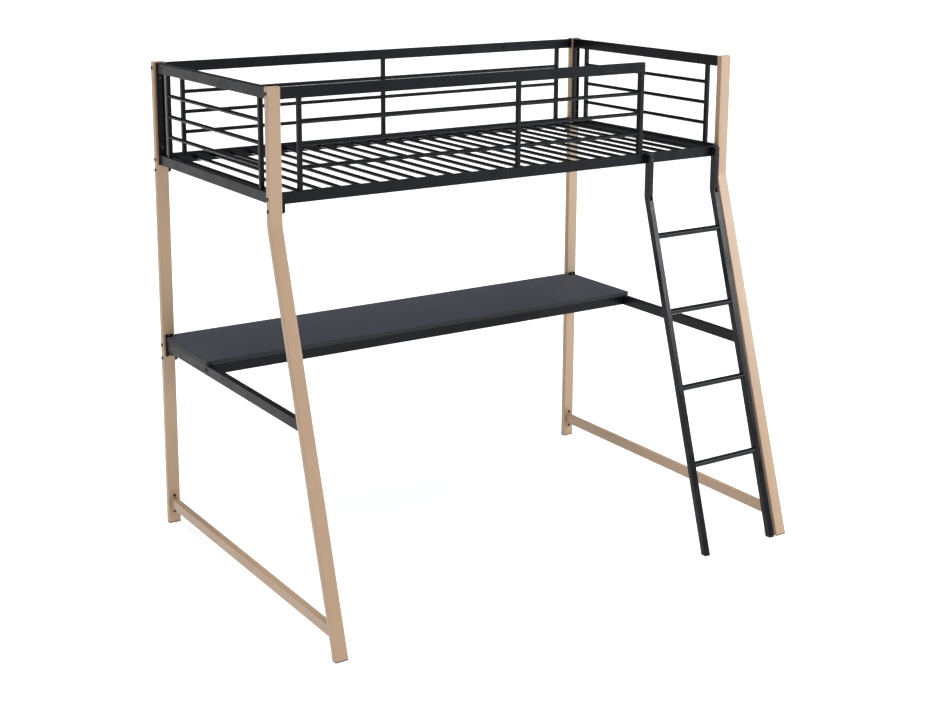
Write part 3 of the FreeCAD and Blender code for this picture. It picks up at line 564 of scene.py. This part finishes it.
def bead_tree():
    """Node tree that lays a rippled bead along every edge path it is given."""
    tree = bpy.data.node_groups.new("weld_bead", "GeometryNodeTree")
    tree.is_modifier = True
    for name, kind in (("Geometry", "NodeSocketGeometry"), ("Bead radius", "NodeSocketFloat"),
                       ("Ripple pitch", "NodeSocketFloat"), ("Ripple height", "NodeSocketFloat"),
                       ("Seed", "NodeSocketInt"), ("Finish", "NodeSocketMaterial")):
        tree.interface.new_socket(name, in_out="INPUT", socket_type=kind)
    tree.interface.new_socket("Geometry", in_out="OUTPUT", socket_type="NodeSocketGeometry")

    def node(kind, **settings):
        made = tree.nodes.new(kind)
        for key, value in settings.items():
            setattr(made, key, value)
        return made

    def join(source, target):
        tree.links.new(source, target)

    def compute(operation, first, second):
        made = node("ShaderNodeMath", operation=operation)
        for socket, value in zip(made.inputs, (first, second)):
            if isinstance(value, (int, float)):
                socket.default_value = value
            else:
                join(value, socket)
        return made.outputs["Value"]

    given = node("NodeGroupInput")
    result = node("NodeGroupOutput")
    lines = node("GeometryNodeMeshToCurve")
    join(given.outputs["Geometry"], lines.inputs["Mesh"])
    divided = node("GeometryNodeResampleCurve", mode="LENGTH")
    join(lines.outputs["Curve"], divided.inputs["Curve"])
    spacing = compute("MULTIPLY", given.outputs["Ripple pitch"], 1 / SAMPLES_PER_RIPPLE)
    join(spacing, divided.inputs["Length"])
    along = node("GeometryNodeSplineParameter").outputs["Length"]
    turns = compute("MULTIPLY", compute("DIVIDE", along, given.outputs["Ripple pitch"]), 2 * math.pi)
    wave = compute("MULTIPLY", compute("SINE", turns, 0.0), given.outputs["Ripple height"])
    uneven = node("FunctionNodeRandomValue", data_type="FLOAT")
    uneven.inputs[2].default_value = -BEAD_UNEVENNESS
    uneven.inputs[3].default_value = BEAD_UNEVENNESS
    join(given.outputs["Seed"], uneven.inputs["Seed"])
    swell = compute("ADD", compute("ADD", wave, uneven.outputs[1]), 1.0)
    section = node("GeometryNodeCurvePrimitiveCircle")
    section.inputs["Resolution"].default_value = BEAD_SIDES
    section.inputs["Radius"].default_value = 1.0
    swept = node("GeometryNodeCurveToMesh")
    join(divided.outputs["Curve"], swept.inputs["Curve"])
    join(section.outputs["Curve"], swept.inputs["Profile Curve"])
    join(compute("MULTIPLY", swell, given.outputs["Bead radius"]), swept.inputs["Scale"])
    swept.inputs["Fill Caps"].default_value = True
    smooth = node("GeometryNodeSetShadeSmooth")
    join(swept.outputs["Mesh"], smooth.inputs["Geometry"])
    real = node("GeometryNodeRealizeInstances")
    join(smooth.outputs["Geometry"], real.inputs["Geometry"])
    painted = node("GeometryNodeSetMaterial")
    join(real.outputs["Geometry"], painted.inputs["Geometry"])
    join(given.outputs["Finish"], painted.inputs["Material"])
    join(painted.outputs["Geometry"], result.inputs["Geometry"])
    return tree


def lay_beads(name, paths, radius, material):
    """Turn paths into one plain mesh of weld beads."""
    welds = bpy.context.scene.loft_bed_welds
    verts = []
    edges = []
    for points, closed in paths:
        start = len(verts)
        verts += points
        edges += [(start + i, start + i + 1) for i in range(len(points) - 1)]
        if closed:
            edges.append((len(verts) - 1, start))
    lines = bpy.data.meshes.new(name + "_lines")
    lines.from_pydata(verts, edges, [])
    guide = bpy.data.objects.new(name + "_guide", lines)
    bpy.context.scene.collection.objects.link(guide)
    tree = bpy.data.node_groups.get("weld_bead") or bead_tree()
    modifier = guide.modifiers.new("Beads", "NODES")
    modifier.node_group = tree
    values = {"Bead radius": radius, "Ripple pitch": welds.pitch, "Ripple height": welds.ripple,
              "Seed": welds.seed, "Finish": material}
    for item in tree.interface.items_tree:
        if item.in_out == "INPUT" and item.name in values:
            modifier[item.identifier] = values[item.name]
    graph = bpy.context.evaluated_depsgraph_get()
    mesh = bpy.data.meshes.new_from_object(guide.evaluated_get(graph))
    bpy.data.objects.remove(guide)
    mesh.name = name
    if not mesh.polygons:
        raise RuntimeError("no weld beads were made for " + name)
    piece = bpy.data.objects.new(name, mesh)
    bpy.context.scene.collection.objects.link(piece)
    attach(piece, BODY)


def finish_named(name):
    material = bpy.data.materials.get(name)
    if material is None:
        raise RuntimeError("the finish %s has to be made first" % name)
    return material


# ------------------------------------------------------------------ operators
class LOFTBED_OT_legs(bpy.types.Operator):
    """Lacquer the four legs and the two floor bars"""
    bl_idname = "loftbed.legs"
    bl_label = "Legs and floor bars"

    def execute(self, context):
        paint = context.scene.loft_bed_paint
        coat(LEG_NODES, leg_lacquer(tuple(paint.leg_colour), paint.leg_roughness))
        return {"FINISHED"}


class LOFTBED_OT_frames(bpy.types.Operator):
    """Powder-coat the side rails, guards, end frames and desk rails"""
    bl_idname = "loftbed.frames"
    bl_label = "Rails, guards and end frames"

    def execute(self, context):
        paint = context.scene.loft_bed_paint
        black = powder_coat("powder_coat", tuple(paint.steel_colour), paint.steel_roughness,
                            paint.steel_gloss)
        coat(RAIL_NODES + GUARD_NODES + END_NODES + DESK_RAIL_NODES + BEAM_NODES, black)
        return {"FINISHED"}


class LOFTBED_OT_slats(bpy.types.Operator):
    """Powder-coat the slat tubes"""
    bl_idname = "loftbed.slats"
    bl_label = "Slat tubes"

    def execute(self, context):
        paint = context.scene.loft_bed_paint
        coat(SLAT_NODES, powder_coat("slat_coat", shade(paint.steel_colour, 0.95),
                                     paint.steel_roughness - 0.04, paint.steel_gloss))
        return {"FINISHED"}


class LOFTBED_OT_ladder(bpy.types.Operator):
    """Powder-coat the ladder's stringers and rungs"""
    bl_idname = "loftbed.ladder"
    bl_label = "Ladder"

    def execute(self, context):
        paint = context.scene.loft_bed_paint
        coat(STRINGER_NODES + RUNG_NODES, powder_coat(
            "ladder_coat", shade(paint.steel_colour, 1.1), paint.steel_roughness - 0.06,
            paint.steel_gloss * 1.4))
        return {"FINISHED"}


class LOFTBED_OT_desk(bpy.types.Operator):
    """Laminate the desk board"""
    bl_idname = "loftbed.desk"
    bl_label = "Desk board"

    def execute(self, context):
        colour = tuple(context.scene.loft_bed_paint.board_colour)
        coat(("desk_board",), desk_laminate(colour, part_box("desk_board")[1].z))
        return {"FINISHED"}


class LOFTBED_OT_caps(bpy.types.Operator):
    """Mould the caps of the legs, the ladder and the guard's free end"""
    bl_idname = "loftbed.caps"
    bl_label = "Plastic caps"

    def execute(self, context):
        paint = context.scene.loft_bed_paint
        coat(("front_foot_caps", "rear_foot_caps"),
             moulded_plastic("foot_plastic", tuple(paint.foot_colour)))
        coat(("leg_top_caps",), moulded_plastic("top_plastic", shade(paint.leg_colour, 0.97)))
        coat(("ladder_foot_caps", "ladder_top_caps", "front_guard_end_cap"),
             moulded_plastic("black_plastic", BLACK_PLASTIC))
        return {"FINISHED"}


class LOFTBED_OT_fasteners(bpy.types.Operator):
    """Finish the bolts, nuts and screws"""
    bl_idname = "loftbed.fasteners"
    bl_label = "Bolts, nuts and screws"

    def execute(self, context):
        coat(BOLT_NODES, black_oxide())
        return {"FINISHED"}


class LOFTBED_OT_welds(bpy.types.Operator):
    """Lay weld beads wherever two tubes or a tube and a bracket meet"""
    bl_idname = "loftbed.welds"
    bl_label = "Weld beads"

    def execute(self, context):
        radius = context.scene.loft_bed_welds.radius
        black = finish_named("powder_coat")
        guard_paths = []
        for name in GUARD_NODES:
            guard_paths += post_and_bar_paths(name) + bracket_paths(name)
        end_paths = []
        for name in END_NODES:
            end_paths += post_and_bar_paths(name) + bracket_paths(name)
        rail_paths = []
        for name in RAIL_NODES:
            rail_paths += bracket_paths(name)
        desk_paths = bracket_paths("desk_back_beam")
        for name in DESK_RAIL_NODES:
            desk_paths += desk_rail_paths(name)
        floor_paths = []
        for name in FLOOR_NODES:
            floor_paths += floor_bar_paths(name)
        lay_beads("guard_welds", guard_paths, radius, black)
        lay_beads("end_frame_welds", end_paths, radius, black)
        lay_beads("side_rail_welds", rail_paths, radius * THICK_BEAD, black)
        lay_beads("slat_welds", slat_paths(), radius * THIN_BEAD, finish_named("slat_coat"))
        lay_beads("ladder_welds", rung_paths(), radius, finish_named("ladder_coat"))
        lay_beads("desk_rail_welds", desk_paths, radius * DESK_BEAD, black)
        lay_beads("floor_bar_welds", floor_paths, radius * THICK_BEAD, finish_named("leg_lacquer"))
        return {"FINISHED"}


class LOFTBED_OT_studio(bpy.types.Operator):
    """Set the pale floor, the softboxes and the camera"""
    bl_idname = "loftbed.studio"
    bl_label = "Studio"

    def execute(self, context):
        studio = context.scene.loft_bed_studio
        lay_floor(studio.floor_glow)
        light_room(context.scene, studio)
        aim_camera(context.scene, studio)
        return {"FINISHED"}


# ------------------------------------------------------------------ studio
def lay_floor(glow):
    """Pale matt floor, lit from below, just under the feet."""
    reach = FLOOR_REACH
    mesh = bpy.data.meshes.new("studio_floor")
    mesh.from_pydata([(-reach, -reach, 0.0), (reach, -reach, 0.0), (reach, reach, 0.0),
                      (-reach, reach, 0.0)], [], [(0, 1, 2, 3)])
    floor = bpy.data.objects.new("studio_floor", mesh)
    bpy.context.scene.collection.objects.link(floor)
    finish = Finish("floor_paint")
    drift = finish.remap(finish.noise(0.8, 3.0), 0.3, 0.7, 0.0, 1.0)
    finish.link(finish.blend(drift, (0.86, 0.86, 0.86), (0.88, 0.88, 0.88)),
                finish.shader.inputs["Base Color"])
    finish.set(Roughness=0.85, Specular_IOR_Level=0.1, Emission_Color=WHITE,
               Emission_Strength=glow)
    mesh.materials.append(finish.material)


def softbox(scene, name, place, aim, size, power):
    """Slightly cool area light at place, turned to aim."""
    data = bpy.data.lights.new(name, "AREA")
    data.shape = "RECTANGLE"
    data.size, data.size_y = size
    data.energy = power
    data.color = LIGHT_TINT
    lamp = bpy.data.objects.new(name, data)
    lamp.location = place
    lamp.rotation_euler = (Vector(aim) - Vector(place)).to_track_quat("-Z", "Y").to_euler()
    scene.collection.objects.link(lamp)


def light_room(scene, studio):
    """White room, brighter overhead than at the sides, with two softboxes and a wide top light."""
    world = bpy.data.worlds.new("studio_room")
    world.use_nodes = True
    scene.world = world
    tree = world.node_tree
    room = tree.nodes["Background"]
    room.inputs["Color"].default_value = WHITE
    wall = tree.nodes.new("ShaderNodeBackground")
    wall.inputs["Color"].default_value = WHITE
    seen = tree.nodes.new("ShaderNodeLightPath")
    mixed = tree.nodes.new("ShaderNodeMixShader")
    toward = tree.nodes.new("ShaderNodeTexCoord")
    split = tree.nodes.new("ShaderNodeSeparateXYZ")
    lift = tree.nodes.new("ShaderNodeMapRange")
    lift.inputs["From Min"].default_value = 0.0
    lift.inputs["From Max"].default_value = ROOM_FULL_AT
    lift.inputs["To Min"].default_value = studio.ambient * HORIZON_SHARE
    lift.inputs["To Max"].default_value = studio.ambient
    tree.links.new(toward.outputs["Generated"], split.inputs["Vector"])
    tree.links.new(split.outputs["Z"], lift.inputs["Value"])
    tree.links.new(lift.outputs["Result"], room.inputs["Strength"])
    tree.links.new(seen.outputs["Is Camera Ray"], mixed.inputs[0])
    tree.links.new(room.outputs["Background"], mixed.inputs[1])
    tree.links.new(wall.outputs["Background"], mixed.inputs[2])
    tree.links.new(mixed.outputs["Shader"], tree.nodes["World Output"].inputs["Surface"])
    softbox(scene, "key_softbox", place=(6.1, -6.4, 3.3), aim=(0.0, -0.3, 1.2), size=(4.0, 2.0),
            power=studio.key_power)
    softbox(scene, "side_softbox", place=(3.6, -1.2, 1.2), aim=(0.9, 0.7, 0.9), size=(1.5, 1.5),
            power=studio.side_power)
    top = bpy.data.lights.new("top_light", "SUN")
    top.energy = studio.top_strength
    top.angle = TOP_LIGHT_SPREAD
    lamp = bpy.data.objects.new("top_light", top)
    lamp.location = (0.0, 0.0, 5.0)
    scene.collection.objects.link(lamp)


def aim_camera(scene, studio):
    """Camera at its place, turned by its azimuth and elevation."""
    data = bpy.data.cameras.new("camera")
    data.sensor_width = 36.0
    data.lens = studio.lens
    data.shift_x, data.shift_y = studio.shift
    data.clip_end = 200.0
    camera = bpy.data.objects.new("camera", data)
    turn = studio.azimuth
    tilt = studio.elevation
    back = Vector((math.sin(turn) * math.cos(tilt), -math.cos(turn) * math.cos(tilt), math.sin(tilt)))
    camera.location = studio.place
    camera.rotation_euler = (-back).to_track_quat("-Z", "Y").to_euler()
    scene.collection.objects.link(camera)
    scene.camera = camera
    scene.view_settings.view_transform = "Standard"


# ------------------------------------------------------------------ panel and registration
OPERATORS = (LOFTBED_OT_legs, LOFTBED_OT_frames, LOFTBED_OT_slats, LOFTBED_OT_ladder, LOFTBED_OT_desk,
             LOFTBED_OT_caps, LOFTBED_OT_fasteners, LOFTBED_OT_welds, LOFTBED_OT_studio)
GROUPS = (("loft_bed_paint", LoftBedPaint), ("loft_bed_welds", LoftBedWelds),
          ("loft_bed_studio", LoftBedStudio))


class LOFTBED_PT_panel(bpy.types.Panel):
    """Finishes, welds and studio of the loft bed"""
    bl_idname = "LOFTBED_PT_panel"
    bl_label = "Loft Bed"
    bl_space_type = "VIEW_3D"
    bl_region_type = "UI"
    bl_category = "Loft Bed"

    def draw(self, context):
        for name, group in GROUPS:
            box = self.layout.box()
            for key in group.__annotations__:
                box.prop(getattr(context.scene, name), key)
        for operator in OPERATORS:
            self.layout.operator(operator.bl_idname)


def register():
    for name, group in GROUPS:
        bpy.utils.register_class(group)
        setattr(bpy.types.Scene, name, bpy.props.PointerProperty(type=group))
    for operator in OPERATORS:
        bpy.utils.register_class(operator)
    bpy.utils.register_class(LOFTBED_PT_panel)


def unregister():
    bpy.utils.unregister_class(LOFTBED_PT_panel)
    for operator in reversed(OPERATORS):
        bpy.utils.unregister_class(operator)
    for name, group in reversed(GROUPS):
        delattr(bpy.types.Scene, name)
        bpy.utils.unregister_class(group)


def main():
    register()
    bpy.ops.loftbed.legs()
    bpy.ops.loftbed.frames()
    bpy.ops.loftbed.slats()
    bpy.ops.loftbed.ladder()
    bpy.ops.loftbed.desk()
    bpy.ops.loftbed.caps()
    bpy.ops.loftbed.fasteners()
    bpy.ops.loftbed.welds()
    bpy.ops.loftbed.studio()


if __name__ == "__main__":
    main()
